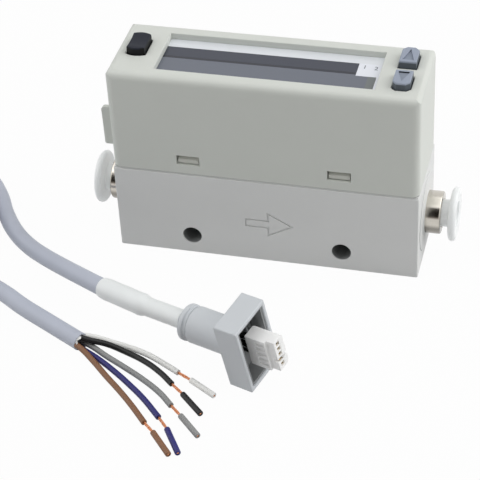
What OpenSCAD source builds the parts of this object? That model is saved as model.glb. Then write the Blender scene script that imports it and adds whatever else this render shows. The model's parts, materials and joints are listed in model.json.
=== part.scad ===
// Inline gas flow sensor: a flow block with a push-in tube port at each end,
// a case with display and keys on top of it, and its lead, which lies
// unplugged in front. X is the flow direction, Z is up, and the origin is
// the middle of the block's underside. Lengths are in millimetres.

/* [Case] */
// Length of block and case along the flow
case_len = 70; // [66:0.5:90]
// Depth of block and case
case_depth = 22; // [21:0.5:30]
// Height of the flow block, up to the seam
seam_z = 22.2; // [21:0.1:26]
// Height of the case above the seam
case_rise = 25.3; // [24.5:0.1:32]
// Side wall of the case
case_wall = 1.6; // [1.2:0.1:2]
// Top wall of the case
top_wall = 2; // [1.6:0.1:2.6]
// Radius of the case's outer edges
edge_r = 1.9; // [0.5:0.1:2]
// Depth of the shadow line at the seam
seam_inset = 0.25; // [0.1:0.05:0.5]
// Height of the shadow line at the seam
seam_line = 0.3; // [0.1:0.05:0.6]

/* [Mounting] */
// Distance between the two mounting holes
mount_pitch = 35; // [30:0.5:38]
// Diameter of a mounting hole
mount_d = 4.4; // [3.2:0.1:4.8]
// Height of the mounting holes above the underside
mount_z = 4.8; // [3.5:0.1:5]

/* [Flow path] */
// Height of the flow axis
port_z = 10.8; // [10.6:0.1:12]
// Diameter of the flow channel
channel_d = 3; // [2:0.1:4]
// Diameter of the tube that the ports take
tube_d = 4; // [3:0.1:4.4]
// Clearance round the tube, on the diameter
tube_clear = 0.2; // [0.1:0.05:0.3]
// Diameter of a screen disc
screen_d = 6.2; // [5:0.1:6.4]
// Thickness of a screen disc
screen_t = 0.3; // [0.2:0.05:0.4]
// Thickness of the spacer behind each screen
spacer_t = 0.9; // [0.6:0.1:1]
// Number of screens
screen_count = 3; // [1:1:3]

/* [Ports] */
// Diameter of the shallow round pad at each end of the block
pad_d = 18.4; // [16:0.1:20]
// Height of the pad
pad_proud = 0.2; // [0.1:0.1:0.8]
// Diameter of the boss on the pad
boss_d = 11.2; // [10.6:0.1:14]
// Height of the boss above the end of the block
boss_proud = 0.4; // [0.3:0.1:2]
// Diameter of the visible metal ring
ring_d = 9.8; // [9.4:0.1:11]
// Visible length of the metal ring
ring_len = 3.4; // [1.5:0.1:4]
// Outer diameter of the cartridge in the block
cartridge_d = 9; // [8.6:0.1:9.2]
// Inner diameter of the cartridge
cartridge_bore = 8; // [7.8:0.1:8.2]
// Diameter of the release collar's neck
neck_d = 6.2; // [5.6:0.1:6.4]
// Diameter of the release collar's flange
flange_d = 12.4; // [10:0.1:14]
// Thickness of the release collar's flange
flange_t = 1.8; // [1.2:0.1:2.6]
// Gap between the flange and the metal ring
flange_gap = 1.8; // [1.4:0.1:2.4]
// How far the release collar is pushed in
collar_travel = 1; // [0.6:0.1:1.2]

/* [Display] */
// Length of the recess in the top
recess_len = 49; // [44:0.5:52]
// Depth of the recess from front to back
recess_wide = 14.8; // [13:0.1:16]
// How far the label lies below the top
recess_deep = 1.45; // [1:0.05:1.6]
// Thickness of the label
label_t = 0.25; // [0.15:0.05:0.35]
// Thickness of the display window
lens_t = 1; // [0.8:0.1:1.2]
// Depth of the label's strip behind the window
label_strip = 3.2; // [2:0.1:5]
// Length of the label's field for the two lamps
lamp_field = 5.4; // [4:0.1:8]
// Depth of the label's field for the two lamps
lamp_field_wide = 4.9; // [4:0.1:6]
// Diameter of a light pipe
pipe_d = 1.5; // [1:0.1:1.8]

/* [Keys] */
// Height of the keys above the top
key_proud = 1.7; // [1:0.1:2.5]
// Gap between a key and its opening
key_clear = 0.2; // [0.15:0.05:0.3]
// Travel of a key
key_travel = 0.5; // [0.3:0.1:0.6]
// Width of the set key
set_w = 4.1; // [3.5:0.1:5]
// Length of the set key
set_len = 7; // [6:0.1:8]
// Distance of the keys from the middle of the case
key_x = 30; // [29:0.1:30.2]
// Width of an arrow key
arrow_key_w = 3.8; // [3:0.1:4.4]
// Length of the up key
up_len = 6; // [5:0.1:6.5]
// Length of the down key
down_len = 5.5; // [5:0.1:6]

/* [Socket] */
// Outer length of the socket's rim and of the plug's hood
socket_long = 18.2; // [17:0.1:18.6]
// Outer height of the socket's rim and of the plug's hood
socket_tall = 10.9; // [10:0.1:11.6]
// Wall of the rim and of the hood
socket_wall = 1; // [0.8:0.1:1.2]
// How far the rim stands out of the case
rim_proud = 2.1; // [1:0.1:3]
// Height of the socket's axis above the seam
socket_rise = 10.35; // [10:0.05:11]
// Number of contacts
contact_count = 5; // [3:1:5]
// Distance between contacts
contact_pitch = 1.5; // [1.25:0.05:1.6]

/* [Snap windows] */
// Distance between the two windows of a side
snap_pitch = 34.4; // [30:0.1:40]
// Width of a window
snap_w = 5.3; // [4:0.1:6]
// Height of a window
snap_h = 2.4; // [2:0.1:3]
// Height of a window's lower edge above the seam
snap_rise = 2.5; // [2:0.1:3]

/* [Plug] */
// Depth of the hood
hood_deep = 5.7; // [5:0.1:8]
// Diameter of the boot behind the hood
boot_d = 8.2; // [7:0.1:9.5]
// Length of the boot
boot_len = 12.6; // [11:0.1:16]
// Length of the crimp housing
housing_len = 6.9; // [6:0.1:9]
// Width of the crimp housing
housing_w = 8.6; // [8:0.1:9]
// Thickness of the crimp housing
housing_t = 3.9; // [3.4:0.1:4.2]
// Length of the housing's thinner front end
nose_len = 1.9; // [1:0.1:2.4]
// Wall of the rubber lining of the hood
lining = 0.5; // [0.3:0.1:0.8]

/* [Lead] */
// Diameter of the cable
cable_d = 4; // [3.6:0.1:4.2]
// Wall of the shrink sleeve next to the boot
sleeve_wall = 0.15; // [0.1:0.05:0.3]
// Wall of the doubled stretch of the shrink sleeve
sleeve_wall_thick = 0.35; // [0.3:0.05:0.5]
// Diameter of a wire
wire_d = 1.3; // [1:0.05:1.4]
// Diameter of a wire's bare core
core_d = 0.7; // [0.5:0.05:0.9]

/* [Hidden] */

$fn = 48;
case_top = seam_z + case_rise;
fit = 0.05;               // radial gap of a seated round piece
slack = 0.2;              // gap of a piece that lies loose in its seat
through = 0.5;            // how far a cut runs past a face

// Heights in the case, from the top down
label_top = case_top - recess_deep;
lens_z = label_top - lens_t;
ledge_z = lens_z - 1.15;
ceiling_z = case_top - top_wall;
glass_t = 2.4;
glass_top = ledge_z - slack;
holder_t = 1.6;
board_t = 1;
display_board_top = glass_top - glass_t - holder_t;
display_board_z = display_board_top - board_t;

// Plan of the display
recess_y = -0.2;
recess_front = recess_y - recess_wide / 2;
recess_back = recess_y + recess_wide / 2;
lens_back = recess_back - label_strip;
lens_right = recess_len / 2 - lamp_field;
lens_front_right = recess_len / 2 - 0.8;
lamp_y = lens_back - 1.5;
lamp_gap = 2.4;
lamp_x = lens_right + 1.5;
glass_len = recess_len - 7;
glass_wide = recess_wide - 4.8;
glass_x = lens_right - 0.6 - glass_len / 2;
glass_y = recess_y - 1;
holder_rim = 1;            // holder beyond the glass at its two short sides
holder_side = 0.6;         // and at its two long sides

// Inner frame and boards
housing_y = 0.35;          // offset of the contacts from the middle of the hood
frame_len = case_len - 2 * case_wall - 2 * slack;
frame_wide = case_depth - 2 * case_wall - 2 * slack;
frame_floor = 1.2;
frame_wall = 1.2;
frame_top = seam_z + 6;
main_board_t = 1.2;
main_board_z = frame_top;
main_board_top = main_board_z + main_board_t;
socket_z = seam_z + socket_rise;
nose_back = 1.5;           // how far the crimp housing reaches back into the hood
nose_reach = housing_len - nose_back;
header_x = -case_len / 2 - rim_proud + nose_reach + slack;
socket_inner_x = header_x - slack;
board_left = header_x + slack;
board_right = case_len / 2 - case_wall - 1.2;
board_wide = frame_wide - 2 * slack;
pillar_x = recess_len / 2 + 1.5;
pillar_y = board_wide / 2 - 2.5;
pillar_d = 2.8;
screw_d = 1.6;
link_len = 14;
link_w = 2.4;
link_h = 2.5;

// Flow block
pocket_len = 26;
pocket_wide = 12;
pocket_floor = port_z + 3.7;
gasket_h = 1.1;
sensor_board_z = pocket_floor + gasket_h;
sensor_board_len = 16;
sensor_board_wide = 10;
clamp_z = sensor_board_z + board_t;
clamp_t = 1.6;
clamp_leg = 2.6;
clamp_screw_x = sensor_board_len / 2 + slack + clamp_leg / 2;
clamp_screw_y = 3.8;
frame_screw_x = case_len / 2 - 6.4;
frame_screw_y = pillar_y - 0.9;

// Stations of a port, measured outwards from the end of the block
cartridge_in = -12.6;
seat_out = -10.2;
seal_r = 0.9;
seal_u = seat_out + 0.1 + seal_r;
collet_in = seal_u + seal_r + 0.2;
collet_out = collet_in + 2.5;
collar_in = collet_out + 0.3 + collar_travel;
lip_t = 0.7;
spigot_in = collar_in + lip_t + 0.3;
ring_out = boss_proud + ring_len;
flange_in = ring_out + flange_gap;
flange_out = flange_in + flange_t;
tube_bore = tube_d + tube_clear;
collar_bore_ring = neck_d + 0.4;
screen_pocket = case_len / 2 + cartridge_in - fit;

// Arrow in the front of the block, as engraved lines
arrow_z = 10.4;
arrow_tail = -4.7;
arrow_neck = 0.5;
arrow_tip = 6.6;
arrow_shaft = 1.15;
arrow_barb = 3.4;
arrow_line = 0.4;
arrow_deep = 0.3;

// Keys
key_top = case_top + key_proud;
key_flange_top = ceiling_z - slack;
key_flange_t = 1;
key_flange = 0.5;
set_y = 0.5;
set_bow = 0.6;
up_y = 1.6;
down_y = -1.6;
tip_chamfer = 0.9;
mark_deep = 0.35;
switch_w = 4.2;
switch_h = 2;
plunger_d = 2;
plunger_top = display_board_top + switch_h + 0.5;
stem_z = plunger_top + key_travel + 0.1;
stem_w = 2.4;

// Plug, in its own frame: X out of the hood, Y across it, Z along it
plug_roll = 10;
plug_pitch = -4;
plug_yaw = -21;
plug_x = 5.4;
plug_y = -50.8;
plug_z = hood_deep / 2 * abs(sin(plug_pitch))
       + socket_tall / 2 * sin(plug_roll) * cos(plug_pitch)
       + socket_long / 2 * cos(plug_roll) * cos(plug_pitch);
hood_front = hood_deep / 2;
boot_end = -hood_front - boot_len;
housing_x = hood_front - nose_back;
boot_bore = cable_d + 0.5;

// Middle line of the lead, from inside the boot to the coil, and from the
// coil to the end of the jacket
cable_r = cable_d / 2;
NEAR_ROUTE = [
    [-7, -46.05, 9.15], [-10.1, -44.86, 8.9], [-15, -42.9, 8.5], [-20, -40.9, 8.1], [-26, -38.1, 7.6],
    [-31.2, -35.5, 7], [-37, -31.7, 5.8], [-42, -28.1, 4.5], [-46.4, -24.8, 3.3], [-50.8, -21.6, 2.4],
    [-55.2, -18.4, 2], [-60, -14, 2], [-64.8, -7.6, 2], [-69, -0.5, 2],
    [-74.6, 6, 2], [-82, 10.4, 2], [-90, 11.9, 2], [-97, 12, 2]
];
SLEEVE_STEP = 3;           // ring where the sleeve's doubled stretch begins
SLEEVE_END = 5;            // ring where the sleeve ends
FAR_ROUTE = [
    [-92, -39.2, 6], [-86, -37.6, 5.8], [-80, -35.4, 4.6], [-74, -33, 3], [-68, -31.7, 2.1], [-62, -32.6, 2],
    [-56.4, -35.1, 2], [-49.5, -39.4, 2], [-41.5, -43.8, 2], [-32.8, -48.5, 2]
];
coil_x = -98;
coil_y = -14;
coil_mid_r = 22;
coil_layers = 2;
coil_rows = 3;
coil_round = 1.8;

// Middle lines of the five wires: each ends with its bare stretch and the
// slug of insulation that is left on the tip
WHITE_ROUTE = [[-33.9, -46.7, 2.5], [-29.7, -46.6, 2.1], [-26.5, -46.4, 1.1], [-22.5, -46.8, 0.65],
    [-18, -48.2, 0.65], [-13.4, -50.5, 0.65], [-9.7, -52.6, 0.65], [-6.5, -54.3, 0.65], [-0.3, -58.1, 0.65]];
BLACK_ROUTE = [[-34.5, -47.7, 3.2], [-30.8, -48.5, 2.9], [-27, -48.2, 2.1], [-22.6, -48.7, 1],
    [-17.8, -50.5, 0.65], [-13.4, -53.4, 0.65], [-10.1, -56.3, 0.65], [-7.1, -58.8, 0.65], [-1.7, -64, 0.65]];
GREY_ROUTE = [[-34, -46.9, 1.1], [-30.4, -48.6, 1.3], [-26.4, -50.6, 0.8], [-22, -52.9, 0.65],
    [-16.4, -56.2, 0.65], [-11.8, -59.5, 0.65], [-8.5, -62.7, 0.65], [-5.8, -65.2, 0.65], [-0.6, -70.4, 0.65]];
BLUE_ROUTE = [[-34.7, -48.2, 0.9], [-31.3, -49.8, 0.7], [-27.4, -52, 0.65], [-22.8, -55.2, 0.65],
    [-19.1, -58.1, 0.65], [-15, -61.6, 0.65], [-10.1, -66.6, 0.65], [-7.5, -69.5, 0.65], [-3.3, -76, 0.65]];
BROWN_ROUTE = [[-35, -48.8, 2.2], [-32, -50.5, 1.9], [-28.6, -53, 1.1], [-24.6, -56.6, 0.65],
    [-20.6, -60.3, 0.65], [-16.8, -64.1, 0.65], [-12.6, -68.7, 0.65], [-10.1, -71, 0.65], [-5.1, -76.7, 0.65]];

// Helpers

// A ring of a swept tube: its middle is point i of the route, square to the
// route there
function heading(route, i) =
    let (a = route[max(i - 1, 0)], b = route[min(i + 1, len(route) - 1)]) (b - a) / norm(b - a);
function ring(route, i, r, sides) =
    let (t = heading(route, i), c = cross(t, [0, 0, 1]), u = c / norm(c), v = cross(u, t))
    [for (k = [0:sides - 1]) let (a = 360 * (k + 0.5) / sides) route[i] + r * (cos(a) * u + sin(a) * v)];

// Round tube along a route, from its point first to its point last
module swept(route, first, last, r, sides = 8) {
    rings = last - first + 1;
    points = [for (i = [first:last]) each ring(route, i, r, sides)];
    skin = [for (j = [0:rings - 2], k = [0:sides - 1]) let (n = (k + 1) % sides)
        [j * sides + k, j * sides + n, (j + 1) * sides + n, (j + 1) * sides + k]];
    ends = [[for (k = [sides - 1:-1:0]) k], [for (k = [0:sides - 1]) (rings - 1) * sides + k]];
    polyhedron(points, concat(skin, ends), convexity = 6);
}

// Hollow tube along a route: each pair of the profile is a point of the
// route and a radius there, out along the outside and back along the bore
module swept_pipe(route, profile, sides = 12) {
    rings = len(profile);
    points = [for (p = profile) each ring(route, p[0], p[1], sides)];
    skin = [for (j = [0:rings - 1], k = [0:sides - 1]) let (n = (k + 1) % sides, m = (j + 1) % rings)
        [j * sides + k, j * sides + n, m * sides + n, m * sides + k]];
    polyhedron(points, skin, convexity = 6);
}

// Box with its middle at x and y and its underside at z
module slab(x, y, z, size) {
    translate([x, y, z + size[2] / 2]) cube(size, center = true);
}

// Upright round bar
module post(x, y, z, d, h) {
    translate([x, y, z]) cylinder(h = h, d = d);
}

// Flat rectangle with round corners
module round_rect(w, h, r) {
    square([w - 2 * r, h], center = true);
    square([w, h - 2 * r], center = true);
    for (x = [-1, 1], y = [-1, 1]) translate([x * (w / 2 - r), y * (h / 2 - r)]) circle(r = r);
}

// Block with round upright and upper edges, standing on z = 0
module soft_block(l, w, h, r) {
    intersection() {
        linear_extrude(h) round_rect(l, w, r);
        translate([0, w / 2, h / 2 - r]) rotate([90, 0, 0]) linear_extrude(w) round_rect(l, h + 2 * r, r);
        translate([-l / 2, 0, h / 2 - r]) rotate([90, 0, 90]) linear_extrude(l) round_rect(w, h + 2 * r, r);
    }
}

// Places a piece of a port: Z runs out of the block, side is -1 or 1
module at_port(side) {
    translate([side * case_len / 2, 0, port_z]) rotate([0, side * 90, 0]) children();
}

// Tube between two stations of a port
module port_tube(from, to, outer, inner) {
    translate([0, 0, from]) difference() {
        cylinder(h = to - from, d = outer);
        translate([0, 0, -through]) cylinder(h = to - from + 2 * through, d = inner);
    }
}

module at_plug() {
    translate([plug_x, plug_y, plug_z]) rotate([plug_roll, plug_pitch, plug_yaw]) children();
}

// Screw with a pan head: z is the underside of the head
module pan_screw(x, y, z, shank, head = 3, head_h = 1.1) {
    difference() {
        union() {
            post(x, y, z, head, head_h);
            post(x, y, z - shank, screw_d, shank + through);
        }
        for (a = [0, 90]) translate([x, y, z + head_h]) rotate([0, 0, a]) cube([1.8, 0.4, 1], center = true);
    }
}

// Flow block

// Outline of the arrow, moved inwards by the given width
function arrow_outline(inset) =
    let (m = arrow_barb / (arrow_tip - arrow_neck), lean = inset * sqrt(1 + m * m),
         back = arrow_neck + inset, barb = (arrow_tip - back) * m - lean, shaft = arrow_shaft - inset)
    [[arrow_tail + inset, -shaft], [back, -shaft], [back, -barb], [arrow_tip - lean / m, 0],
     [back, barb], [back, shaft], [arrow_tail + inset, shaft]];

module arrow_groove() {
    translate([0, -case_depth / 2 + arrow_deep, arrow_z]) rotate([90, 0, 0])
        linear_extrude(arrow_deep + through) difference() {
            polygon(arrow_outline(0));
            polygon(arrow_outline(arrow_line));
        }
}

module base_block() {
    color("#b4b6b4") difference() {
        union() {
            slab(0, 0, 0, [case_len, case_depth, seam_z - seam_line]);
            slab(0, 0, 0, [case_len - 2 * seam_inset, case_depth - 2 * seam_inset, seam_z]);
            for (side = [-1, 1]) at_port(side) {
                translate([0, 0, -1]) cylinder(h = 1 + pad_proud, d = pad_d, $fn = 96);
                translate([0, 0, -1]) cylinder(h = 1 + boss_proud, d = boss_d);
            }
        }
        for (side = [-1, 1]) {
            translate([side * mount_pitch / 2, 0, mount_z]) rotate([90, 0, 0])
                cylinder(h = case_depth + 2 * through, d = mount_d, center = true);
            at_port(side) translate([0, 0, cartridge_in - fit])
                cylinder(h = boss_proud - cartridge_in + fit + through, d = cartridge_d + 2 * fit);
        }
        translate([-case_len / 2, 0, port_z]) rotate([0, 90, 0]) cylinder(h = case_len, d = channel_d);
        translate([-screen_pocket - through, 0, port_z]) rotate([0, 90, 0])
            cylinder(h = screen_count * (screen_t + spacer_t) + fit + through, d = screen_d + 2 * fit);
        slab(0, 0, pocket_floor, [pocket_len, pocket_wide, seam_z]);
        post(0, 0, port_z, 4, seam_z);
        for (s = [-1, 1]) post(s * clamp_screw_x, s * clamp_screw_y, pocket_floor - 4, screw_d, 5);
        for (x = [-1, 1], y = [-1, 1])
            post(x * frame_screw_x, y * frame_screw_y, seam_z - 5, screw_d, 5 + through);
        arrow_groove();
    }
}

module flow_screens() {
    color("silver") for (i = [0:screen_count - 1]) {
        x = -screen_pocket + i * (screen_t + spacer_t);
        translate([x, 0, port_z]) rotate([0, 90, 0]) difference() {
            cylinder(h = screen_t, d = screen_d);
            for (a = [-2:2], b = [-2:2]) if (a * a + b * b < 6)
                translate([a * 0.8, b * 0.8, 0]) cube([0.5, 0.5, 2], center = true);
        }
    }
}

module screen_spacers() {
    color("gray") for (i = [0:screen_count - 1]) {
        x = -screen_pocket + i * (screen_t + spacer_t) + screen_t;
        translate([x, 0, port_z]) rotate([0, 90, 0]) difference() {
            cylinder(h = spacer_t, d = screen_d);
            cylinder(h = 3 * spacer_t, d = screen_d - 1.6, center = true);
        }
    }
}

module sensor_gasket() {
    color("black") translate([0, 0, pocket_floor]) difference() {
        cylinder(h = gasket_h, r = 4);
        cylinder(h = 3 * gasket_h, r = 2.8, center = true);
    }
}

module sensor_chip() {
    color("#3a3a44") slab(0, 0, sensor_board_z - 0.8, [3, 3, 0.8]);
}

module sensor_board() {
    color("darkgreen") slab(0, 0, sensor_board_z, [sensor_board_len, sensor_board_wide, board_t]);
}

module sensor_clamp() {
    color("#444444") difference() {
        union() {
            slab(0, 0, clamp_z, [2 * clamp_screw_x + clamp_leg, pocket_wide - 2 * slack, clamp_t]);
            for (s = [-1, 1]) slab(s * clamp_screw_x, 0, pocket_floor,
                [clamp_leg, pocket_wide - 2 * slack, clamp_z + clamp_t - pocket_floor]);
        }
        slab(0, 0, clamp_z - through, [7, 3.4, clamp_t + 2 * through]);
        for (s = [-1, 1]) post(s * clamp_screw_x, s * clamp_screw_y, pocket_floor - through, 1.8, 9);
    }
}

module clamp_screws() {
    color("silver") for (s = [-1, 1])
        pan_screw(s * clamp_screw_x, s * clamp_screw_y, clamp_z + clamp_t, clamp_z + clamp_t - pocket_floor + 3.6);
}

module sensor_link() {
    color("#222222") union() {
        slab(0, 0, clamp_z, [6, link_w, link_h]);
        for (i = [-1.5:1.5]) slab(i * 1.4, 0, clamp_z, [0.5, 0.5, main_board_z - clamp_z]);
    }
}

// Ports

module cartridge(side) {
    color("silver") at_port(side) {
        port_tube(seat_out, boss_proud - fit, cartridge_d, cartridge_bore);
        port_tube(cartridge_in + 0.6, seat_out, cartridge_d, tube_d + 0.1);
        port_tube(cartridge_in, cartridge_in + 0.6, cartridge_d, channel_d);
    }
}

module metal_ring(side) {
    chamfer = 0.4;
    color("#c8c4bc") at_port(side) {
        port_tube(spigot_in, boss_proud, cartridge_bore - 2 * fit, collar_bore_ring);
        port_tube(boss_proud, ring_out - chamfer, ring_d, collar_bore_ring);
        translate([0, 0, ring_out - chamfer]) difference() {
            cylinder(h = chamfer, d1 = ring_d, d2 = ring_d - 2 * chamfer);
            translate([0, 0, -through]) cylinder(h = 2, d = collar_bore_ring);
        }
    }
}

module collet(side) {
    color("lightgray") at_port(side) difference() {
        translate([0, 0, collet_in]) cylinder(h = collet_out - collet_in, d = cartridge_bore - 2 * fit);
        translate([0, 0, collet_in - through]) cylinder(h = 5, d = tube_bore + 0.1);
        translate([0, 0, collet_in + 0.8]) cylinder(h = 5, d1 = tube_bore, d2 = cartridge_bore - 1.2);
        for (a = [0:60:179]) rotate([0, 0, a]) slab(0, 0, collet_in + 0.8, [cartridge_bore + 1, 0.4, 3]);
    }
}

module tube_seal(side) {
    color("#2a2a2a") at_port(side) translate([0, 0, seal_u]) rotate_extrude()
        translate([tube_bore / 2 + 0.05 + seal_r, 0]) circle(r = seal_r, $fn = 24);
}

module collar(side) {
    rim = 0.6;
    color("#eef0ee") at_port(side) rotate_extrude($fn = 72) difference() {
        union() {
            translate([0, collar_in]) square([neck_d / 2, flange_out - collar_in]);
            translate([0, collar_in]) square([neck_d / 2 + 0.5, lip_t]);
            translate([0, flange_in]) square([flange_d / 2 - rim, flange_t]);
            translate([0, flange_in + rim]) square([flange_d / 2, flange_t - 2 * rim]);
            for (z = [flange_in + rim, flange_out - rim]) translate([flange_d / 2 - rim, z]) circle(r = rim);
        }
        translate([-0.01, collar_in - 1]) square([tube_bore / 2 + 0.01, flange_out - collar_in + 2]);
        polygon([[0, flange_out - 0.5], [tube_bore / 2, flange_out - 0.5], [tube_bore / 2 + 0.6, flange_out + 0.1],
                 [0, flange_out + 0.1]]);
    }
}

module left_cartridge() { cartridge(-1); }
module left_ring() { metal_ring(-1); }
module left_collet() { collet(-1); }
module left_tube_seal() { tube_seal(-1); }
module left_collar() { collar(-1); }
module right_cartridge() { cartridge(1); }
module right_ring() { metal_ring(1); }
module right_collet() { collet(1); }
module right_tube_seal() { tube_seal(1); }
module right_collar() { collar(1); }

// Case and inner frame

// Plan of the display window
module lens_plan(gap = 0) {
    polygon([[-recess_len / 2 + gap, recess_front + gap], [lens_front_right - gap, recess_front + gap],
             [lens_front_right - gap, recess_back - label_strip - lamp_field_wide - gap],
             [lens_right - gap, recess_back - label_strip - lamp_field_wide - gap],
             [lens_right - gap, lens_back - gap], [-recess_len / 2 + gap, lens_back - gap]]);
}

// Openings for the snaps, on both sides
module snap_cut() {
    for (x = [-1, 1], y = [-1, 1])
        slab(x * snap_pitch / 2, y * case_depth / 2, seam_z + snap_rise, [snap_w, 4 * case_wall, snap_h]);
}

module socket_box(x_from, x_to, inset) {
    translate([(x_from + x_to) / 2, 0, socket_z])
        cube([x_to - x_from, socket_long - 2 * inset, socket_tall - 2 * inset], center = true);
}

module upper_case() {
    rim_x = -case_len / 2 - rim_proud;
    color("#d6d8d0") difference() {
        union() {
            difference() {
                translate([0, 0, seam_z]) soft_block(case_len, case_depth, case_rise, edge_r);
                difference() {
                    slab(0, 0, seam_z - through,
                        [case_len - 2 * case_wall, case_depth - 2 * case_wall, ceiling_z - seam_z + through]);
                    slab(0, 0, ledge_z, [recess_len + 2.4, case_depth, case_rise]);
                }
            }
            socket_box(rim_x, socket_inner_x, 0);
        }
        socket_box(rim_x - 1, socket_inner_x + 1, socket_wall);
        slab(rim_x, 0, socket_z, [2 * rim_proud, socket_long - 2 * socket_wall, socket_tall]);
        snap_cut();
        translate([0, 0, lens_z + lens_t - label_t]) linear_extrude(case_rise)
            translate([0, recess_y]) square([recess_len, recess_wide], center = true);
        translate([0, 0, lens_z]) linear_extrude(case_rise) lens_plan();
        translate([glass_x, glass_y, ledge_z - 1]) linear_extrude(case_rise)
            square([glass_len - 3, glass_wide - 2.4], center = true);
        for (i = [0, 1]) post(lamp_x + i * lamp_gap, lamp_y, ledge_z - 1, pipe_d + 2 * fit, case_rise);
        translate([0, 0, ledge_z - 1]) linear_extrude(case_rise) {
            translate([-key_x, set_y]) set_plan(key_clear);
            translate([key_x, up_y]) arrow_plan(up_len, key_clear);
            translate([key_x, down_y]) rotate(180) arrow_plan(down_len, key_clear);
        }
    }
}

module inner_frame() {
    side_y = frame_wide / 2 - frame_wall / 2;
    color("#c2c4bc") difference() {
        union() {
            slab(0, 0, seam_z, [frame_len, frame_wide, frame_floor]);
            for (y = [-1, 1]) slab(0, y * side_y, seam_z, [frame_len, frame_wall, frame_top - seam_z]);
            slab(frame_len / 2 - frame_wall / 2, 0, seam_z, [frame_wall, frame_wide, frame_top - seam_z]);
            slab(-frame_len / 2 + frame_wall / 2, 0, seam_z, [frame_wall, frame_wide, 3.4]);
            for (x = [-1, 1], s = [-1, 1])
                translate([x * snap_pitch / 2 - snap_w / 2 + 0.3, s * frame_wide / 2, seam_z + snap_rise + 0.3])
                    snap_hook(s);
            for (x = [-1, 1], y = [-1, 1])
                post(x * (frame_screw_x - 5), y * (pillar_y - 0.6), seam_z, 3, frame_top - seam_z);
        }
        slab(0, 0, seam_z - through, [pocket_len + 2, pocket_wide - 1, 3]);
        slab(-case_len / 2, 0, socket_z - socket_tall / 2 - slack,
            [2 * (case_len / 2 + socket_inner_x + slack), case_depth, socket_tall]);
        for (x = [-1, 1], y = [-1, 1])
            post(x * frame_screw_x, y * frame_screw_y, seam_z - through, 1.8, 3);
    }
}

// Wedge that snaps into a window of the case
module snap_hook(s) {
    reach = case_wall + slack - 0.45;
    rotate([90, 0, 90]) linear_extrude(snap_w - 0.6)
        polygon([[-s * 0.5, 0], [s * reach, 0], [s * reach, snap_h - 1.5], [s * 0.15, snap_h - 0.6], [-s * 0.5, snap_h - 0.6]]);
}

module frame_screws() {
    color("silver") for (x = [-1, 1], y = [-1, 1])
        pan_screw(x * frame_screw_x, y * frame_screw_y, seam_z + frame_floor, frame_floor + 4.6);
}

// Display

module display_lens() {
    color("#3c4149") translate([0, 0, lens_z]) linear_extrude(lens_t) lens_plan(fit);
}

module label_sheet() {
    color("#ccd0d6") translate([0, 0, label_top - label_t]) linear_extrude(label_t) difference() {
        translate([0, recess_y]) square([recess_len - 2 * fit, recess_wide - 2 * fit], center = true);
        lens_plan();
    }
}

module lcd_glass() {
    color("#4a5058") slab(glass_x, glass_y, glass_top - glass_t, [glass_len, glass_wide, glass_t]);
}

module lcd_holder() {
    color("#e6e6e0") difference() {
        slab(glass_x, glass_y, display_board_top,
            [glass_len + 2 * holder_rim, glass_wide + 2 * holder_side, holder_t + 1]);
        slab(glass_x, glass_y, display_board_top + holder_t,
            [glass_len + slack, glass_wide + slack, holder_t]);
    }
}

module light_pipes() {
    color("white") for (i = [0, 1])
        post(lamp_x + i * lamp_gap, lamp_y, display_board_top + 1.4, pipe_d, label_top - label_t - display_board_top - 1.4);
}

module lamps() {
    color("orange") for (i = [0, 1])
        slab(lamp_x + i * lamp_gap, lamp_y, display_board_top, [1.6, 1.2, 1.2]);
}

// Keys

// Plan of the set key: a bar whose two ends bow outwards
module set_plan(gap = 0) {
    w = set_w + 2 * gap;
    l = set_len + 2 * gap;
    bow_r = w * w / (8 * set_bow) + set_bow / 2;
    square([w, l - 2 * set_bow], center = true);
    for (s = [-1, 1]) intersection() {
        translate([0, s * (l / 2 - bow_r)]) circle(r = bow_r);
        translate([0, s * l / 4]) square([w, l / 2], center = true);
    }
}

// Plan of an arrow key: its flat end is at y = 0 and its tip at y = length
module arrow_plan(length, gap = 0) {
    w = arrow_key_w / 2 + gap;
    l = length + gap;
    polygon([[-w, -gap], [w, -gap], [w, l - tip_chamfer], [w - tip_chamfer, l], [tip_chamfer - w, l],
             [-w, l - tip_chamfer]]);
}

// What every key has below its cap: the flange that keeps it in, and the stem
module key_foot(w, y_from, y_to) {
    slab(0, (y_from + y_to) / 2, key_flange_top - key_flange_t,
        [w + 2 * key_flange, y_to - y_from, key_flange_t]);
    slab(0, (y_from + y_to) / 2, stem_z, [stem_w, stem_w, key_flange_top - stem_z]);
}

module set_key() {
    dish_r = 14;
    color("#23262f") translate([-key_x, set_y, 0]) {
        difference() {
            translate([0, 0, key_flange_top - key_flange_t])
                linear_extrude(key_top - key_flange_top + key_flange_t) set_plan();
            translate([0, 0, key_top + dish_r - 0.25]) rotate([0, 90, 0])
                cylinder(h = 3 * set_w, r = dish_r, center = true, $fn = 120);
        }
        key_foot(set_w, -set_len / 2 + 0.6, set_len / 2 - 0.6);
    }
}

// Arrow key with an engraved triangle that points at its tip
module arrow_key(length) {
    color("#8d95a3") {
        difference() {
            translate([0, 0, key_flange_top - key_flange_t])
                linear_extrude(key_top - key_flange_top + key_flange_t) arrow_plan(length);
            translate([0, 0, key_top - mark_deep]) linear_extrude(1)
                polygon([[-1.3, 0.8], [1.3, 0.8], [0, length - 0.9]]);
        }
        key_foot(arrow_key_w, 0.2, length - 0.8);
    }
}

module up_key() {
    translate([key_x, up_y, 0]) arrow_key(up_len);
}

module down_key() {
    translate([key_x, down_y, 0]) rotate([0, 0, 180]) arrow_key(down_len);
}

module key_switches() {
    places = [[-key_x, set_y], [key_x, up_y + (up_len - 0.6) / 2], [key_x, down_y - (down_len - 0.6) / 2]];
    color("#30343a") for (p = places) {
        slab(p[0], p[1], display_board_top, [switch_w, switch_w, switch_h]);
        post(p[0], p[1], display_board_top, plunger_d, plunger_top - display_board_top);
    }
}

// Boards

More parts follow.
